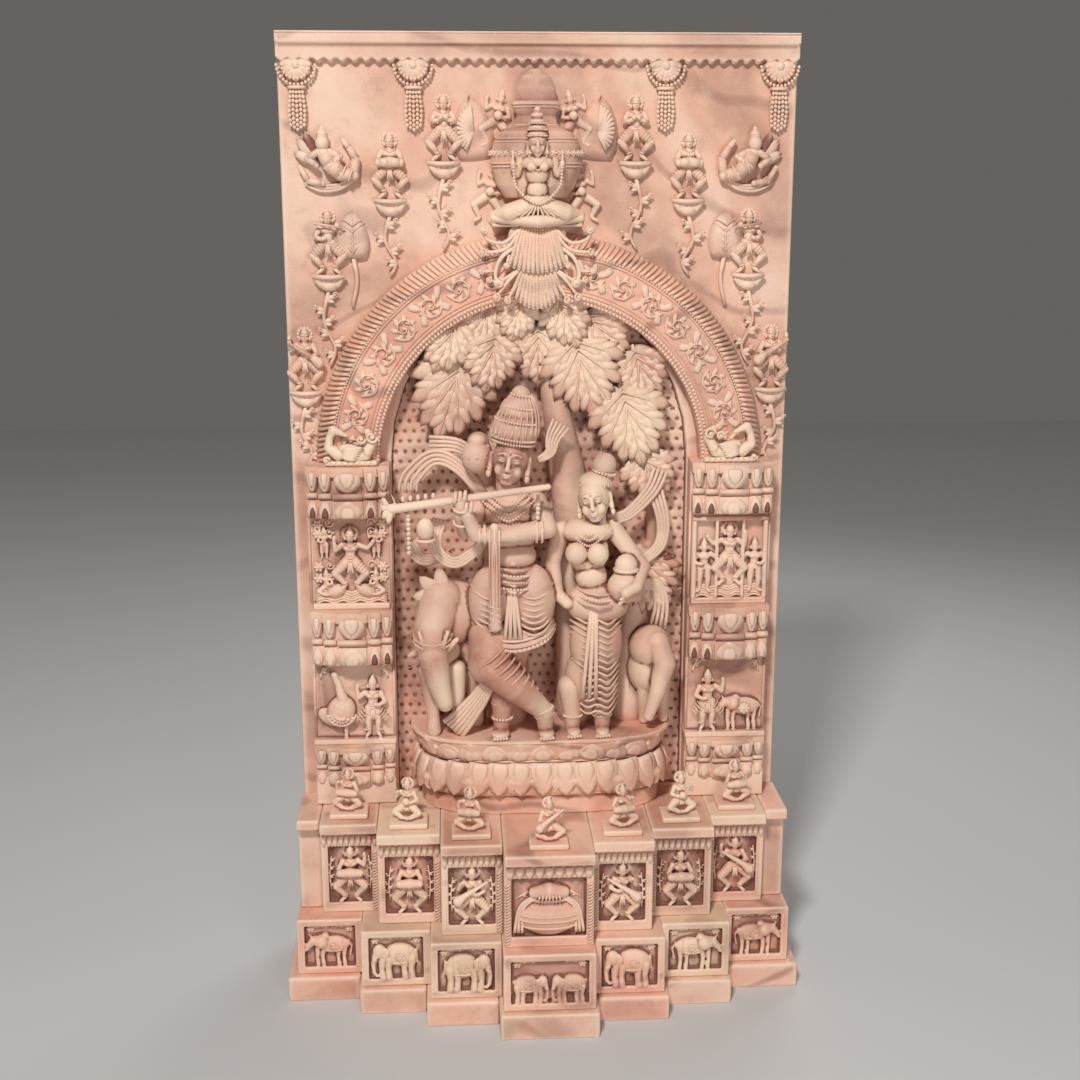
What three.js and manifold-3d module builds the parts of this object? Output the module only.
// A carved stone relief panel: a back slab with an arched niche, a flute player and a consort with a cow and
// a calf under a tree on a double lotus pedestal, two pillars, a crest with a seated goddess, and a stepped
// base in courses of separate blocks. Millimetres, +Z up, the front faces -Y, and the origin is on the floor
// under the middle.
import * as THREE from 'three';
import { mergeVertices } from 'three/addons/utils/BufferGeometryUtils.js';
import Module from 'manifold-3d';

const wasm = await Module();
wasm.setup();

// Driving sizes of the stonework
const JOINT = 0.3; // open joint between neighbouring stones
const FINEST = 1.2; // flatter steps than this are smoothed away
const SIDE_FIELD = 49; // of the slab beside the arch
const SLAB_THICK = 90;
const CAP_HEIGHT = 21;
const CAP_OUT = 20;
const VALANCE_HEIGHT = 33;
const VALANCE_OUT = 14;
const VALANCE_TABS = 44;
const JAMB_REVEAL = 20; // how far the pillars stand in under the arch
const NICHE_RECESS = 20;

// Courses of the base, from the floor up
const PLINTH_HEIGHT = 50;
const FRIEZE_HEIGHT = 116;
const PANEL_HEIGHT = 175;
const COPING_HEIGHT = 21;
const TIER_STEP = 54; // each column stands this far in front of its outer neighbour
const PLINTH_FRONT = 188; // of the outermost column
const FRIEZE_SETBACK = 15;
const PANEL_SETBACK = 46;
const COPING_OVERHANG = 24;
const END_SETBACK = 22; // of the two end posts behind the outermost panels
const PLINTH_EDGES = [0, 95, 233, 364, 506]; // half widths where the columns meet, from the middle outwards
const FRIEZE_EDGES = [0, 88, 225, 359, 487];
const PANEL_EDGES = [0, 85, 203, 325, 438];
const END_EDGE = 483;
const FIELD_DEPTH = 12; // how far a carved field is sunk behind its frame
const FRAME_RAIL = 14;
const PANEL_SILL = 20;

// Pillars, arch and pedestal
const PILLAR_WIDTH = 162;
const PILLAR_HEIGHT = 686;
const PILLAR_OUT = 70;
const SWAN_LENGTH = 104;
const ARCH_OUTER = 431;
const ARCH_INNER = 308;
const ARCH_OUT = 50;
const HEADROOM = 336; // of the slab above the arch
const FEATHER_BAND = 38;
const PEDESTAL_WIDTH = 524;
const PEDESTAL_HEIGHT = 155;
const PEDESTAL_FRONT = 150;
const PEDESTAL_PETALS = 18;
const PEDESTAL_SQUARENESS = 3.4; // of its plan: 2 is an ellipse, more is straighter in front

// Heights of the carved figures
const PLAYER_HEIGHT = 683;
const CONSORT_HEIGHT = 553;
const COW_HEIGHT = 310;
const CALF_HEIGHT = 190;
const CREST_HEIGHT = 430;
const MUSICIAN_HEIGHT = 98;
const DANCER_HEIGHT = 122;

// Worked out from the sizes above
const BASE_TOP = PLINTH_HEIGHT + FRIEZE_HEIGHT + PANEL_HEIGHT + COPING_HEIGHT;
const SPRING = BASE_TOP + PILLAR_HEIGHT; // of the arch
const SLAB_HEIGHT = SPRING + ARCH_OUTER + HEADROOM;
const SLAB_WIDTH = 2 * (ARCH_OUTER + SIDE_FIELD);
const NICHE_WIDTH = 2 * (ARCH_INNER - JAMB_REVEAL);
const PILLAR_X = NICHE_WIDTH / 2 + PILLAR_WIDTH / 2;
const NICHE_BACK = NICHE_RECESS - JOINT;
// puts the middle of the whole over the origin
const SETBACK = (PLINTH_FRONT + 3 * TIER_STEP - SLAB_THICK) / 2;

const stones = {
  rose: new THREE.MeshStandardMaterial({ color: 0xd9a08c, roughness: 0.72, metalness: 0 }),
  blush: new THREE.MeshStandardMaterial({ color: 0xe6b9a4, roughness: 0.7, metalness: 0 }),
  cream: new THREE.MeshStandardMaterial({ color: 0xe9cfae, roughness: 0.7, metalness: 0 }),
  umber: new THREE.MeshStandardMaterial({ color: 0xc08c78, roughness: 0.66, metalness: 0 }),
};
const relief = new THREE.Group();

// Turns a three.js geometry into a solid
function solid(geometry) {
  geometry.deleteAttribute('normal');
  geometry.deleteAttribute('uv');
  const merged = mergeVertices(geometry, 1e-3);
  const corners = merged.index.array;
  const triangles = [];
  for (let i = 0; i < corners.length; i += 3) {
    const [a, b, c] = corners.slice(i, i + 3);
    if (a !== b && b !== c && a !== c) triangles.push(a, b, c);
  }
  return new wasm.Manifold(new wasm.Mesh({
    numProp: 3,
    vertProperties: new Float32Array(merged.attributes.position.array),
    triVerts: new Uint32Array(triangles),
  }));
}

// Joins solids into one named mesh at its own place
function piece(name, stone, at, solids) {
  const mesh = solids.reduce((all, next) => all.add(next)).simplify(FINEST).getMesh();
  const geometry = new THREE.BufferGeometry();
  geometry.setAttribute('position', new THREE.BufferAttribute(new Float32Array(mesh.vertProperties), 3));
  geometry.setIndex(new THREE.BufferAttribute(new Uint32Array(mesh.triVerts), 1));
  geometry.computeVertexNormals();
  const made = new THREE.Mesh(geometry, stones[stone]);
  made.name = name;
  made.position.set(at[0], at[1] + SETBACK, at[2]);
  relief.add(made);
}

// A box from its lowest to its highest corner
function box(low, high) {
  const geometry = new THREE.BoxGeometry(...high.map((v, i) => v - low[i]));
  geometry.translate(...high.map((v, i) => (v + low[i]) / 2));
  return solid(geometry);
}

// An outline in x and z, with its depth from a back plane towards the viewer
function slice(outline, back, depth) {
  const shape = new THREE.Shape(outline.map(([x, z]) => new THREE.Vector2(x, z)));
  const geometry = new THREE.ExtrudeGeometry(shape, { depth, bevelEnabled: false });
  geometry.rotateX(Math.PI / 2);
  geometry.translate(0, back, 0);
  return solid(geometry);
}

// A round bar bent along a line of rings, each [x, out, z, radius, radius towards the viewer]
function limb(rings, sides = 3) {
  const centres = rings.map(([x, out, z]) => new THREE.Vector3(x, -out, z));
  const geometry = new THREE.CylinderGeometry(1, 1, rings.length - 1, sides, rings.length - 1);
  const spots = geometry.attributes.position;
  const viewer = new THREE.Vector3(0, -1, 0);
  for (let i = 0; i < spots.count; i += 1) {
    const ring = Math.round(spots.getY(i) + (rings.length - 1) / 2);
    const before = centres[Math.max(ring - 1, 0)];
    const after = centres[Math.min(ring + 1, rings.length - 1)];
    const along = after.clone().sub(before).normalize();
    const across = new THREE.Vector3().crossVectors(along, viewer).normalize();
    const forward = new THREE.Vector3().crossVectors(across, along).normalize();
    const [, , , radius, deep = radius] = rings[ring];
    const spot = centres[ring].clone()
      .addScaledVector(across, radius * spots.getX(i))
      .addScaledVector(forward, deep * spots.getZ(i));
    spots.setXYZ(i, spot.x, spot.y, spot.z);
  }
  return solid(geometry);
}

function ball([x, out, z], [wide, deep, high], detail = 0) {
  const geometry = new THREE.OctahedronGeometry(1, detail);
  geometry.scale(wide, deep, high);
  geometry.translate(x, -out, z);
  return solid(geometry);
}

// A turned shape from [radius, height] rings on a vertical axis, with petals as waves on chosen rings
function turned(rings, sides, centre, flatten = 1, petals = 0, squareness = 2) {
  const profile = [[0, rings[0][1]], ...rings, [0, rings[rings.length - 1][1]]];
  const geometry = new THREE.LatheGeometry(profile.map(([r, z]) => new THREE.Vector2(r, z)), sides);
  geometry.rotateX(Math.PI / 2);
  if (petals) {
    const spots = geometry.attributes.position;
    const waved = new Map(rings.map(([, z, wave = 0]) => [z.toFixed(2), wave]));
    for (let i = 0; i < spots.count; i += 1) {
      const [x, y, z] = [spots.getX(i), spots.getY(i), spots.getZ(i)];
      const wave = waved.get(z.toFixed(2)) ?? 0;
      const angle = Math.atan2(y, x);
      const corner = Math.abs(Math.cos(angle)) ** squareness + Math.abs(Math.sin(angle)) ** squareness;
      const swell = (1 + wave * Math.cos(petals * angle)) * corner ** (-1 / squareness);
      spots.setXY(i, x * swell, y * swell);
    }
  }
  geometry.scale(1, flatten, 1);
  geometry.translate(...centre);
  return solid(geometry);
}

// A lobed leaf: a low cone whose rim is drawn out into points, from its stem to its tip
function leaf(stem, tip, width, back, height, lobes = 4) {
  const sides = 2 * lobes + 2;
  const geometry = new THREE.ConeGeometry(1, 1, sides);
  const spots = geometry.attributes.position;
  const [run, rise] = [tip[0] - stem[0], tip[1] - stem[1]];
  const length = Math.hypot(run, rise);
  for (let i = 0; i < spots.count; i += 1) {
    const [u, v] = [-spots.getX(i), spots.getZ(i)];
    const outward = spots.getY(i) > 0 ? height : 0;
    let [across, along] = [0, 0.45];
    if (Math.hypot(u, v) > 0.5) {
      const step = Math.round((Math.atan2(u, v) / (2 * Math.PI)) * sides);
      const share = step % 2 === 0 ? 1 : 0.62;
      across = 0.5 * u * share * (1 - 0.5 * Math.max(0, -v)) * width;
      along = 0.45 + 0.55 * v * (v > 0 ? share : 0.82);
    }
    spots.setXYZ(
      i,
      stem[0] + across * (rise / length) + along * run,
      back - outward,
      stem[1] - across * (run / length) + along * rise,
    );
  }
  return solid(geometry);
}

// Poses are in thousandths of the figure's height: [x, out, z, radius, radius towards the viewer]
function posed(height, lines, at, mirror = 1) {
  const unit = height / 1000;
  return lines.map(({ rings, sides }) => limb(rings.map(([x, out, z, radius, deep = radius]) => [
    at[0] + mirror * x * unit, out * unit - at[1], at[2] + z * unit, radius * unit, deep * unit,
  ]), sides));
}

// A figure in low relief, raised from the wall behind it: an outline of [x, z, out] in thousandths of its size
function raised(size, outline, at, mirror = 1) {
  const unit = size / 1000;
  const points = mirror < 0 ? outline.map(([x, z, out]) => [-x, z, out]).reverse() : outline;
  const shape = new THREE.Shape(points.map(([x, z]) => new THREE.Vector2(x, z)));
  const geometry = new THREE.ExtrudeGeometry(shape, { depth: 1, bevelEnabled: false });
  const spots = geometry.attributes.position;
  const nearest = (x, z) => points.reduce((best, point) => (
    Math.hypot(point[0] - x, point[1] - z) < Math.hypot(best[0] - x, best[1] - z) ? point : best));
  for (let i = 0; i < spots.count; i += 1) {
    const [x, z, front] = [spots.getX(i), spots.getY(i), spots.getZ(i) > 0.5];
    const out = front ? nearest(x, z)[2] * unit : -3;
    spots.setXYZ(i, at[0] + x * unit, at[1] - out, at[2] + z * unit);
  }
  return solid(geometry);
}

// The small dancers: crowned, knees turned out, with folded or lifted arms and perhaps a drum or a flute
const DANCER_HEAD = [[0, 1000, 110], [75, 890, 130], [80, 820, 150], [40, 765, 120], [135, 745, 100]];
const DANCER_HIP = [[80, 560, 110], [140, 470, 130], [270, 300, 170], [170, 6, 100], [50, 6, 100],
  [150, 270, 140]];
const DANCER_ARM = {
  folded: [[300, 610, 120], [210, 540, 140]],
  lifted: [[260, 710, 110], [280, 890, 90], [350, 880, 90], [330, 610, 110], [130, 630, 110]],
};
function dancer(height, [left, right, holds], at, mirror = 1) {
  const half = (arm) => [...DANCER_HEAD.slice(1), ...DANCER_ARM[arm], ...DANCER_HIP];
  const outline = [
    DANCER_HEAD[0], ...half(left).map(([x, z, out]) => [-x, z, out]), [0, 400, 150],
      ...half(right).reverse(),
  ];
  const unit = height / 1000;
  const parts = [raised(height, outline, at, mirror)];
  if (holds === 'drum') parts.push(ball([at[0], 150 * unit - at[1], at[2] + 580 * unit],
    [200 * unit, 70 * unit, 60 * unit]));
  if (holds === 'flute') {
    parts.push(...posed(height, [{ rings: [[-250, 150, 600, 40], [330, 150, 800, 40]], sides: 3 }], at,
      mirror));
  }
  return parts;
}

// The back slab, with the tassels and the figures of its upper field
// place from the middle, its cup below the slab's top, how far its stem falls, its arms
const FIELD_DANCERS = [
  { x: 178, drop: 213, fall: 140, arms: ['folded', 'folded'] },
  { x: 278, drop: 281, fall: 120, arms: ['folded', 'folded', 'drum'] },
  { x: SLAB_WIDTH / 2 - 84, drop: 419, fall: 104, arms: ['folded', 'lifted', 'flute'] },
  { x: SLAB_WIDTH / 2 - 35, drop: 637, fall: 126, arms: ['folded', 'folded', 'drum'] },
];
const TASSELS_X = [SLAB_WIDTH / 2 - 36, 232];
const LAMP_LEAF_DROP = 387; // from the slab's top to the leaf's stem
const FLIGHT_DROP = 207;

function fieldCarving(side) {
  const parts = [];
  for (const { x, drop, fall, arms } of FIELD_DANCERS) {
    const z = SLAB_HEIGHT - drop;
    parts.push(...dancer(DANCER_HEIGHT, arms, [side * x, 0, z], side));
    parts.push(limb([[side * x, 14, z + 3, 30, 20], [side * x, 4, z - 18, 12],
      [side * x, 4, z - fall, 12]]));
  }
  for (const x of TASSELS_X) {
    const top = SLAB_HEIGHT - VALANCE_HEIGHT - 8;
    parts.push(leaf([side * x, top + 4], [side * x, top - 44], 76, 1, 20, 2));
    parts.push(limb([[side * x, 4, top - 34, 10, 12], [side * x, 4, top - 96, 22, 12],
      [side * x, 2, top - 122, 4]], 4));
  }
  // a lamp leaf on a long stem, and a celestial figure curled in flight
  const [leafX, leafZ] = [side * (SLAB_WIDTH / 2 - 130), SLAB_HEIGHT - LAMP_LEAF_DROP];
  parts.push(leaf([leafX, leafZ], [leafX, leafZ + 90], 56, 1, 15, 2));
  parts.push(limb([[leafX, 1, leafZ + 18, 5], [leafX, 1, leafZ - 88, 5]]));
  const [x, z] = [side * (SLAB_WIDTH / 2 - 90), SLAB_HEIGHT - FLIGHT_DROP];
  parts.push(
    limb([[x, 20, z + 44, 8], [x, 20, z + 24, 16], [x, 16, z - 4, 20], [x - side * 48, 15, z - 20, 13],
      [x - side * 40, 12, z + 22, 7]], 4),
    limb([[x + side * 10, 8, z - 48, 6], [x + side * 50, 10, z - 8, 8], [x - side * 36, 10, z + 8, 7]]),
    leaf([x + side * 10, z + 2], [x + side * 38, z + 48], 30, 1, 14, 1),
  );
  return parts;
}

// The niche's outline given depth: straight jambs and a half round head
function niche(half, rise, back, depth) {
  const outline = [[-half, BASE_TOP], [half, BASE_TOP]];
  const steps = 14;
  for (let i = 0; i <= steps; i += 1) {
    const angle = Math.PI * i / steps;
    outline.push([half * Math.cos(angle), SPRING + rise * Math.sin(angle)]);
  }
  return slice(outline, back, depth);
}
const hidden = NICHE_WIDTH / 2; // the recess ends behind the pillars and the arch
piece('back_slab', 'blush', [0, 0, 0], [
  box([-SLAB_WIDTH / 2, 0, 0], [SLAB_WIDTH / 2, SLAB_THICK, SLAB_HEIGHT])
    .subtract(niche(hidden, ARCH_INNER + JAMB_REVEAL, NICHE_RECESS, NICHE_RECESS + 1)),
  ...fieldCarving(-1),
  ...fieldCarving(1),
]);

// The cap rail over the slab, with a scalloped valance in front of it
function valance() {
  const pitch = SLAB_WIDTH / VALANCE_TABS;
  const start = -SLAB_WIDTH / 2;
  const outline = [[start, 1]];
  for (let i = 0; i < VALANCE_TABS; i += 1) {
    outline.push([start + i * pitch, -VALANCE_HEIGHT * 0.75], [start + (i + 0.5) * pitch, -VALANCE_HEIGHT]);
  }
  outline.push([SLAB_WIDTH / 2, -VALANCE_HEIGHT * 0.75], [SLAB_WIDTH / 2, 1]);
  return slice(outline, -JOINT, VALANCE_OUT);
}
piece('cap_rail', 'blush', [0, 0, SLAB_HEIGHT + JOINT], [
  valance(), box([-SLAB_WIDTH / 2, -CAP_OUT, 0], [SLAB_WIDTH / 2, SLAB_THICK, CAP_HEIGHT]),
]);

// The stepped base: each column is a plinth, an animal frieze, a dancer panel and a coping stone
const COLUMNS = [
  { tier: -3, animal: 'bull', faces: -1, arms: ['folded', 'lifted', 'drum'],
    stones: ['rose', 'rose', 'blush', 'blush', 'rose'] },
  { tier: -2, animal: 'elephant', faces: -1, arms: ['folded', 'folded', 'drum'],
    stones: ['blush', 'cream', 'rose', 'cream', 'cream'] },
  { tier: -1, animal: 'elephant', faces: 1, arms: ['folded', 'lifted', 'flute'],
    stones: ['rose', 'cream', 'cream', 'blush', 'blush'] },
  { tier: 0, animal: 'pair', faces: 1, arms: null, stones: ['blush', 'rose', 'rose', 'rose', 'rose'] },
  { tier: 1, animal: 'elephant', faces: -1, arms: ['folded', 'lifted', 'flute'],
    stones: ['rose', 'rose', 'blush', 'rose', 'blush'] },
  { tier: 2, animal: 'bull', faces: 1, arms: ['folded', 'folded', 'drum'],
    stones: ['blush', 'cream', 'umber', 'blush', 'cream'] },
  { tier: 3, animal: 'bull', faces: 1, arms: ['folded', 'lifted'],
    stones: ['rose', 'rose', 'rose', 'cream', 'blush'] },
];
const SIDE_NAMES = { '-1': 'left', 0: 'middle', 1: 'right' };

// The width that a column takes between its neighbours
function span(tier, edges) {
  const step = Math.abs(tier);
  if (step === 0) return [JOINT - edges[1], edges[1] - JOINT];
  const reach = [edges[step] + JOINT, edges[step + 1] - JOINT];
  return tier < 0 ? [-reach[1], -reach[0]] : reach;
}

// A block whose front field is sunk inside a frame
function framed([left, right], front, height, foot, head) {
  const block = box([left, -front, 0], [right, -JOINT, height - JOINT]);
  return block.subtract(box([left + FRAME_RAIL, -front - 1, foot],
    [right - FRAME_RAIL, FIELD_DEPTH - front, height - head]));
}

// A walking animal in low relief, facing right, its outline in thousandths of its length
const BEAST_LEGS = [[-470, 620, 110], [-420, 8, 100], [-290, 8, 100], [-270, 260, 120], [-230, 8, 140],
  [-130, 8, 140],
  [-90, 330, 150], [110, 330, 150], [140, 8, 140], [240, 8, 140], [270, 260, 120], [300, 8, 100],
    [400, 8, 100]];
const BEAST_HEAD = {
  elephant: [[400, 400, 150], [430, 50, 90], [520, 50, 90], [590, 480, 130], [540, 780, 170],
    [400, 880, 170],
    [200, 820, 140], [-300, 880, 100]],
  bull: [[400, 440, 150], [560, 380, 120], [620, 460, 120], [520, 760, 160], [500, 970, 90],
    [400, 820, 140],
    [220, 900, 120], [80, 800, 100], [-400, 800, 100]],
};
function beast(kind, middle, wall, sill, length, faces) {
  const unit = length / 1000;
  return [
    raised(length, [...BEAST_LEGS, ...BEAST_HEAD[kind]], [middle - faces * 60 * unit, wall, sill], faces),
    ball([middle - faces * 110 * unit, 120 * unit - wall, sill + 580 * unit],
      [330 * unit, 110 * unit, 230 * unit]),
  ];
}

function pot(middle, wall, sill) {
  const lid = sill + 98;
  return [
    turned([[16, -2], [48, 20], [46, 48], [28, 66], [36, 76], [20, 90]], 8, [middle, wall, sill], 0.45),
    limb([[middle - 34, 8 - wall, lid, 8], [middle, 10 - wall, lid, 18],
      [middle + 34, 8 - wall, lid, 8]], 4),
  ];
}

function baseColumn({ tier, animal, faces, arms, stones: [plinthStone, friezeStone, panelStone,
  copingStone] }) {
  const name = [SIDE_NAMES[Math.sign(tier)], Math.abs(tier) || ''].filter(Boolean).join('_');
  const front = PLINTH_FRONT + TIER_STEP * (3 - Math.abs(tier));
  const friezeFront = front - FRIEZE_SETBACK;
  const panelFront = front - PANEL_SETBACK;
  const copingFront = panelFront + COPING_OVERHANG;

  const [plinthLeft, plinthRight] = span(tier, PLINTH_EDGES);
  piece(`plinth_${name}`, plinthStone, [0, 0, 0], [
    box([plinthLeft, -front, 0], [plinthRight, -JOINT, PLINTH_HEIGHT - JOINT]),
  ]);

  const frieze = span(tier, FRIEZE_EDGES);
  const friezeMiddle = (frieze[0] + frieze[1]) / 2;
  const friezeWall = FIELD_DEPTH - friezeFront;
  const length = frieze[1] - frieze[0] - 2 * FRAME_RAIL;
  const animals = animal === 'pair'
    ? [-1, 1].flatMap((side) => beast('elephant', side * length * 0.26, friezeWall, FRAME_RAIL,
      length * 0.46, -side))
    : beast(animal, friezeMiddle, friezeWall, FRAME_RAIL, length * 0.86, faces);
  piece(`frieze_${name}`, friezeStone, [0, 0, PLINTH_HEIGHT], [
    framed(frieze, friezeFront, FRIEZE_HEIGHT, FRAME_RAIL, FRAME_RAIL), ...animals,
  ]);

  const bay = span(tier, PANEL_EDGES);
  const bayMiddle = (bay[0] + bay[1]) / 2;
  const bayWall = FIELD_DEPTH - panelFront;
  const head = VALANCE_HEIGHT + 2;
  const carving = arms === null
    ? pot(bayMiddle, bayWall, PANEL_SILL)
    : dancer(DANCER_HEIGHT, arms, [bayMiddle, bayWall, PANEL_SILL], faces);
  piece(`panel_${name}`, panelStone, [0, 0, PLINTH_HEIGHT + FRIEZE_HEIGHT], [
    framed(bay, panelFront, PANEL_HEIGHT, PANEL_SILL, head),
    box([bay[0] + 1, -panelFront - 8, PANEL_HEIGHT - head], [bay[1] - 1, 2 - panelFront, PANEL_HEIGHT - 1]),
    ...carving,
  ]);

  piece(`coping_${name}`, copingStone, [0, 0, BASE_TOP - COPING_HEIGHT], [
    box([bay[0], -copingFront, 0], [bay[1], -JOINT, COPING_HEIGHT - JOINT]),
  ]);
}
COLUMNS.forEach(baseColumn);

for (const side of [-1, 1]) {
  const front = PLINTH_FRONT - PANEL_SETBACK - END_SETBACK;
  const edges = [side * (PANEL_EDGES[4] + JOINT), side * END_EDGE].sort((a, b) => a - b);
  piece(`end_post_${SIDE_NAMES[side]}`, 'blush', [0, 0, PLINTH_HEIGHT + FRIEZE_HEIGHT], [
    box([edges[0], -front, 0], [edges[1], -JOINT, PANEL_HEIGHT - JOINT]),
  ]);
  piece(`end_coping_${SIDE_NAMES[side]}`, 'rose', [0, 0, BASE_TOP - COPING_HEIGHT], [
    box([edges[0], -front - COPING_OVERHANG, 0], [edges[1], -JOINT, COPING_HEIGHT - JOINT]),
  ]);
}

// The pillars: moulded foot, lower panel, middle capital, upper panel and capital, as shares of the pillar
// from, to, inset at each side, how far it stands out, and whether its middle steps forward
const PILLAR_STAGES = [
  [0, 0.08, 2, 1.1, false], [0.08, 0.19, 0, 1, true], [0.19, 0.42, 6, 0.6, false],
    [0.42, 0.5, 0, 1.04, true],
  [0.5, 0.59, 8, 0.92, false], [0.59, 0.85, 8, 0.6, false], [0.85, 0.92, 8, 0.92, false],
    [0.92, 1, 0, 1.06, true],
];
const PILLAR_CORE = { inset: 8, out: 0.6 }; // runs through every stage, behind the narrowest
const LOWER_FIELD = 0.19;
const UPPER_FIELD = 0.59;
const PEACOCK = [[60, 6, 80], [90, 300, 120], [230, 420, 110], [200, 640, 100], [60, 700, 120],
  [-60, 640, 120], [-150, 760, 100],
  [-190, 960, 90], [-290, 900, 90], [-240, 560, 130], [-160, 360, 150], [20, 300, 120], [-20, 6, 80]];
function pillar(side) {
  const half = PILLAR_WIDTH / 2;
  const parts = PILLAR_STAGES.map(([from, to, inset, out], i) => box(
    [inset - half, -PILLAR_OUT * out, i ? from * PILLAR_HEIGHT : JOINT],
      [half - inset, -JOINT, to * PILLAR_HEIGHT],
  ));
  for (const [from, to, , out, steps] of PILLAR_STAGES) {
    const block = [[-half * 0.5, -PILLAR_OUT * (out + 0.16), from * PILLAR_HEIGHT],
      [half * 0.5, -10, to * PILLAR_HEIGHT]];
    if (steps) parts.push(box(...block));
  }
  const wall = -PILLAR_OUT * PILLAR_CORE.out;
  parts.push(box([PILLAR_CORE.inset - half, wall, JOINT],
    [half - PILLAR_CORE.inset, -JOINT, PILLAR_HEIGHT]));
  const low = LOWER_FIELD * PILLAR_HEIGHT;
  const high = UPPER_FIELD * PILLAR_HEIGHT;
  // beside the lower dancer, a peacock on the left and a bull on the right
  parts.push(...dancer(DANCER_HEIGHT * 1.05, ['lifted', 'folded'], [-side * 34, wall, low], -side));
  if (side < 0) {
    parts.push(raised(DANCER_HEIGHT * 1.05, PEACOCK, [-36, wall, low]));
  } else {
    parts.push(...beast('bull', 30, wall, low, 88, -1));
  }
  parts.push(...dancer(DANCER_HEIGHT * 1.25, ['lifted', 'folded'], [0, wall, high], side));
  return parts;
}

// A resting swan on each capital, its neck and its tail raised, in thousandths of its length
const SWAN = [
  { rings: [[470, 0, 690, 50], [380, 0, 800, 100], [430, 0, 440, 90], [240, 0, 200, 170],
    [-200, 0, 200, 180],
    [-440, 0, 500, 120], [-340, 0, 860, 110]], sides: 4 },
];
for (const side of [-1, 1]) {
  const word = SIDE_NAMES[side];
  piece(`pillar_${word}`, 'blush', [side * PILLAR_X, 0, BASE_TOP], pillar(side));
  const half = SWAN_LENGTH / 2;
  piece(`swan_${word}`, 'cream', [side * (PILLAR_X - 8), 0, SPRING + JOINT], [
    box([-half, -ARCH_OUT - 0.26 * SWAN_LENGTH, 0], [half, -ARCH_OUT - JOINT, 0.1 * SWAN_LENGTH]),
    ...posed(SWAN_LENGTH, SWAN, [0, -ARCH_OUT - 0.13 * SWAN_LENGTH, 0], side),
  ].map((made) => made.intersect(box([-SWAN_LENGTH, -3 * ARCH_OUT, 0],
    [SWAN_LENGTH, -ARCH_OUT - JOINT, SWAN_LENGTH]))));
}

// The arch: a half ring whose outer band of feathers slopes back to the slab
function archRing() {
  const steps = 40;
  const shoulder = ARCH_OUTER - FEATHER_BAND;
  const profile = [
    [ARCH_INNER, -JOINT], [ARCH_INNER, 10 - ARCH_OUT], [ARCH_INNER + 10, -ARCH_OUT], [shoulder, -ARCH_OUT],
    [ARCH_OUTER, -ARCH_OUT * 0.3], [ARCH_OUTER, -JOINT], [ARCH_INNER, -JOINT],
  ];
  const ring = solid(new THREE.LatheGeometry(profile.map(([r, y]) => new THREE.Vector2(r, y)), steps));
  return ring.intersect(box([-ARCH_OUTER - 1, -ARCH_OUT - 1, 0], [ARCH_OUTER + 1, 1, ARCH_OUTER + 1]));
}
piece('arch_ring', 'rose', [0, 0, SPRING + JOINT], [archRing()]);

// The crest over the crown of the arch, in thousandths of its height: a domed pot, a seated goddess on a
// cushion, four attendants and a hanging fan of feathers in front of the arch
const CREST_X = -8;
const CREST_LOW = SLAB_HEIGHT - VALANCE_HEIGHT - 4 - CREST_HEIGHT;
const POT_RINGS = [[110, 480], [168, 610], [150, 710], [84, 760], [96, 860], [84, 930], [14, 998]];
const GODDESS = [
  { rings: [[0, 140, 860, 20], [0, 156, 770, 50], [0, 150, 720, 34], [0, 140, 690, 80, 50],
    [0, 130, 620, 54, 50],
    [0, 130, 500, 110, 70]], sides: 5 },
  { rings: [[-84, 150, 690, 24], [-116, 150, 620, 26], [0, 120, 700, 40], [116, 150, 620, 26],
    [84, 150, 690, 24]], sides: 4 },
  { rings: [[-212, 120, 480, 44, 60], [0, 140, 500, 60, 80], [212, 120, 480, 44, 60]], sides: 4 },
];
function crest() {
  const unit = CREST_HEIGHT / 1000;
  const back = -ARCH_OUT - JOINT;
  const room = box([-600 * unit, -400 * unit, -1], [600 * unit, -JOINT, 1001 * unit]);
  const parts = [
    turned(POT_RINGS.map(([r, z]) => [r * unit, z * unit]), 8, [0, -66 * unit, 0], 0.55),
    ...posed(CREST_HEIGHT, GODDESS, [0, 0, 0]),
    box([-250 * unit, -150 * unit, 420 * unit], [250 * unit, 0, 465 * unit]),
    // the fan hangs in two tiers
    leaf([0, 470 * unit], [0, 190 * unit], 300 * unit, back, 36, 5),
    leaf([0, 270 * unit], [0, 0], 250 * unit, back, 24, 4),
  ];
  for (const side of [-1, 1]) {
    for (const [from, out, to] of [[400, 220, 320], [290, 220, 190], [180, 190, 80]]) {
      parts.push(limb([[0, ARCH_OUT + 8, from * unit, 11],
        [side * out * 0.75 * unit, ARCH_OUT + 8, to * unit, 10],
        [side * out * unit, ARCH_OUT + 8, (to + 70) * unit, 7]]));
    }
    for (const [x, z, size] of [[205, 455, 250], [170, 690, 255]]) {
      parts.push(...dancer(size * unit, ['folded', 'lifted'], [side * x * unit, -10, z * unit], side));
    }
    parts.push(leaf([side * 150 * unit, 700 * unit], [side * 300 * unit, 900 * unit],
      150 * unit, 0, 14, 1));
  }
  return parts.map((made) => made.intersect(room));
}
piece('crest', 'blush', [CREST_X, 0, CREST_LOW], crest());

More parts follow.
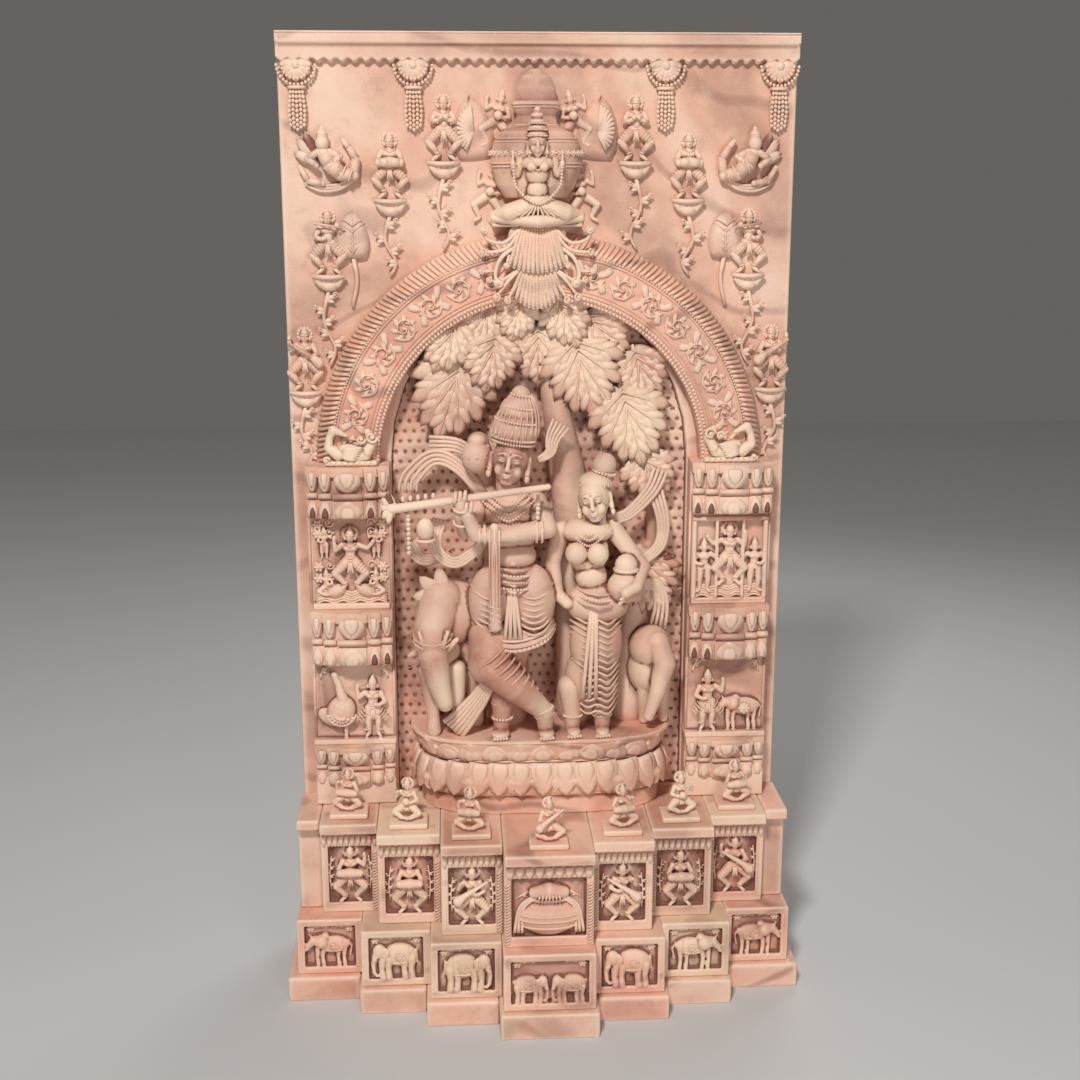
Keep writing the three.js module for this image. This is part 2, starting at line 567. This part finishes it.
// The double lotus pedestal: petals hang from its lower ring and rise on its upper ring
const PEDESTAL_PROFILE = [[0.92, 0], [0.92, 0.24, 0], [0.97, 0.3, 0.03], [1, 0.46, 0.012],
  [0.93, 0.64, 0], [0.88, 0.7, 0],
  [0.92, 0.74, 0.02], [0.99, 0.96, 0.01], [0.99, 1, 0]];
function pedestal() {
  const half = PEDESTAL_WIDTH / 2;
  const depth = PEDESTAL_FRONT + NICHE_BACK;
  const rings = PEDESTAL_PROFILE.map(([share, z, wave]) => [share * half, z * PEDESTAL_HEIGHT, wave]);
  const centre = [0, NICHE_BACK, 0];
  const whole = turned(rings, 2 * PEDESTAL_PETALS, centre, depth / half, PEDESTAL_PETALS,
    PEDESTAL_SQUARENESS);
  return whole.intersect(box([-half - 9, -depth - 9, -1], [half + 9, NICHE_BACK, PEDESTAL_HEIGHT + 1]));
}
piece('lotus_pedestal', 'rose', [0, 0, BASE_TOP + JOINT], [pedestal()]);

// The main group, carved in one piece: each pose is in thousandths of its own figure's height
const PLAYER = [
  { rings: [[-57, 125, 1000, 24], [-64, 136, 890, 74, 68], [-88, 146, 804, 62], [-104, 138, 752, 42],
    [-98, 116, 712, 104, 58], [-86, 116, 531, 68, 56], [-84, 126, 420, 116, 90],
      [-88, 132, 290, 126, 92]], sides: 6 },
  { rings: [[-218, 225, 722, 30], [-236, 235, 640, 38], [-170, 232, 604, 36], [12, 200, 606, 50],
    [0, 130, 690, 56]],
    sides: 4 },
  { rings: [[-196, 200, 712, 32], [-242, 150, 600, 40], [-180, 110, 700, 56]], sides: 3 },
  { rings: [[9, 176, 14, 28], [3, 170, 80, 38], [-140, 205, 232, 78], [-120, 120, 400, 80]], sides: 5 },
  { rings: [[-118, 172, 14, 28], [-114, 130, 70, 40], [-80, 124, 300, 80]], sides: 4 },
  { rings: [[8, 225, 742, 12], [-416, 235, 684, 18]], sides: 4 }, // the flute
  { rings: [[-425, 235, 655, 24], [-425, 235, 725, 38]], sides: 4 }, // its carved end
  { rings: [[-136, 210, 600, 20], [-138, 240, 350, 28]], sides: 3 }, // the sash in front
  // its end swept aside
  { rings: [[-146, 180, 270, 30], [-190, 170, 120, 36], [-256, 150, 20, 46]], sides: 3 },
  { rings: [[-290, 90, 640, 24], [-246, 100, 512, 34], [-130, 110, 600, 30]], sides: 3 }, // the scarf
  { rings: [[-325, 230, 690, 18], [-325, 220, 590, 26]], sides: 4 }, // a bell below the flute
  { rings: [[-187, 60, 900, 24], [-187, 70, 800, 56], [-150, 70, 740, 40]], sides: 4 },
];
const CONSORT = [
  { rings: [[210, 166, 985, 40], [188, 174, 905, 46], [172, 186, 850, 64], [150, 176, 770, 36],
    [159, 150, 730, 104, 60],
    [168, 150, 560, 66, 56], [188, 156, 450, 118, 86], [156, 156, 100, 86, 70]], sides: 6 },
  { rings: [[250, 140, 730, 46], [350, 170, 610, 42], [300, 240, 545, 34]], sides: 4 },
  { rings: [[60, 130, 730, 46], [30, 120, 600, 42], [80, 160, 500, 34]], sides: 3 },
  { rings: [[288, 210, 610, 36], [288, 204, 545, 68], [288, 200, 485, 30]],
    sides: 5 }, // the pot on her hip
  { rings: [[104, 160, 110, 40], [102, 220, 14, 34]], sides: 3 },
  { rings: [[208, 160, 110, 40], [212, 214, 14, 34]], sides: 3 },
];
const COW = [
  { rings: [[-330, 120, 640, 200, 150], [-600, 200, 760, 230, 190], [-720, 290, 790, 190, 160],
    [-700, 390, 600, 130, 110],
    [-615, 430, 260, 46]], sides: 5 },
  { rings: [[-700, 240, 600, 90], [-690, 240, 0, 50]], sides: 4 },
  { rings: [[-540, 220, 600, 90], [-540, 220, 0, 50]], sides: 4 },
  { rings: [[-810, 380, 650, 24], [-700, 360, 660, 46], [-560, 380, 650, 24]], sides: 3 }, // the ears
];
const CALF = [
  { rings: [[980, 200, 880, 160], [1140, 280, 900, 200, 180], [1250, 400, 700, 150],
    [1080, 480, 100, 60]], sides: 4 },
  { rings: [[1100, 280, 700, 90], [1070, 280, 0, 60]], sides: 3 },
  { rings: [[1260, 240, 760, 150], [1270, 240, 0, 70]], sides: 3 },
];
const LEAVES = [ // stem and tip, each x in millimetres and z in thousandths of the tree's height, and width
  [[-158, 949], [-206, 835], 96], [[-96, 992], [-126, 887], 84], [[-38, 1000], [-58, 902], 84],
  [[-4, 930], [-6, 802], 104], [[34, 1000], [72, 887], 88], [[92, 961], [160, 854], 92],
  [[-86, 916], [-108, 782], 92], [[-150, 861], [-200, 675], 118], [[66, 906], [106, 723], 108],
  [[180, 880], [216, 756], 84], [[156, 790], [200, 611], 112], [[196, 644], [236, 525], 84],
  [[196, 406], [236, 250], 80],
];
// limbs of the tree: each ring [x, out, z, radius, radius towards the viewer], z in thousandths of the height
const TREE = [
  [[-50, 40, 0, 80, 58], [-60, 40, 358, 90, 58], [-40, 32, 596, 60, 50],
    [-10, 6, 763, 26, 24], [0, 4, 969, 22]],
  [[70, 40, 0, 80, 58], [100, 40, 310, 80, 58], [66, 26, 573, 44, 44], [30, 4, 763, 40, 22]],
  [[170, 30, 0, 60, 48], [190, 30, 179, 50, 48]],
  [[-190, 2, 668, 18, 20], [-180, 2, 871, 24, 20], [0, 4, 980, 32, 22], [180, 2, 871, 24, 20],
    [206, 2, 644, 18, 20], [214, 2, 394, 20, 20], [130, 20, 191, 36]],
  [[-60, 10, 573, 26], [-170, 4, 656, 22], [-250, 4, 573, 12]], // the plume beside the flute
  [[-120, 20, 298, 36], [-236, 8, 370, 16]],
  [[100, 10, 501, 26], [190, 6, 420, 16], [228, 6, 453, 9]],
];
const GROUP_FOOT = BASE_TOP + PEDESTAL_HEIGHT + 2 * JOINT;
const GROUP_REACH = 400; // room in front of the slab
const LEAF_RISE = 38; // of a leaf's middle over its rim
const LEAF_BACKS = [2, 8]; // neighbouring leaves overlap in two layers
function mainGroup(foot) {
  // it fills the niche, and only the flute's end reaches out in front of a pillar
  const inside = niche(NICHE_WIDTH / 2 - 1, ARCH_INNER - 1, NICHE_BACK, GROUP_REACH).translate([0, 0,
    -foot]);
  const above = box([-NICHE_WIDTH, -GROUP_REACH, 0], [NICHE_WIDTH, NICHE_BACK, PLAYER_HEIGHT + ARCH_INNER]);
  const before = box([-NICHE_WIDTH, -GROUP_REACH, 0], [NICHE_WIDTH, -PILLAR_OUT * 1.4, PLAYER_HEIGHT]);
  const room = inside.intersect(above).add(before);
  const unit = (SPRING + ARCH_INNER - foot) / 1000; // of the tree, which reaches the niche's crown
  const grown = ([x, z]) => [x, z * unit];
  return [
    ...TREE.map((rings) => limb(rings.map(([x, out, z, ...radii]) => [x, out, z * unit, ...radii]), 4)),
    ...LEAVES.map(([stem, tip, width], i) => leaf(grown(stem), grown(tip), width, LEAF_BACKS[i % 2],
      LEAF_RISE)),
    ...[[PLAYER, PLAYER_HEIGHT], [CONSORT, CONSORT_HEIGHT], [COW, COW_HEIGHT], [CALF, CALF_HEIGHT]]
      .flatMap(([pose, height]) => posed(height, pose, [0, 0, 0])),
  ].map((made) => made.intersect(room));
}
piece('main_group', 'umber', [0, 0, GROUP_FOOT], mainGroup(GROUP_FOOT));

// Seven musicians kneel along the coping, one on each column
const MUSICIAN = [
  { rings: [[-90, 20, 1000, 90], [-40, 70, 800, 140], [0, 0, 610, 150, 110], [0, 0, 400, 120, 110],
    [0, 0, 60, 230, 190]],
    sides: 4 },
  { rings: [[-60, 220, 460, 70], [-280, 100, 430, 70], [0, 0, 640, 110], [340, 100, 560, 70],
    [310, 180, 780, 80]], sides: 3 },
  { rings: [[-340, 140, 240, 110], [0, 60, 240, 110], [340, 120, 230, 100]], sides: 4 },
  { rings: [[-130, 210, 420, 90], [30, 250, 480, 170], [160, 220, 550, 90]], sides: 4 }, // the drum
];
function musician(faces) {
  const size = MUSICIAN_HEIGHT;
  return [box([-0.4 * size, -0.28 * size, 0], [0.4 * size, 0.28 * size, 0.12 * size]), ...posed(size,
    MUSICIAN, [0, 0, 0], faces)];
}
const MUSICIAN_SETBACK = 32; // its base plate behind the coping's edge
for (const { tier, stones: dressed } of COLUMNS) {
  const [left, right] = span(tier, PANEL_EDGES);
  const front = PLINTH_FRONT + TIER_STEP * (3 - Math.abs(tier)) - PANEL_SETBACK + COPING_OVERHANG;
  const name = [SIDE_NAMES[Math.sign(tier)], Math.abs(tier) || ''].filter(Boolean).join('_');
  const at = [(left + right) / 2, MUSICIAN_SETBACK + 0.28 * MUSICIAN_HEIGHT - front, BASE_TOP + JOINT];
  piece(`musician_${name}`, dressed[4], at, musician(tier > 0 ? -1 : 1));
}

export default relief;
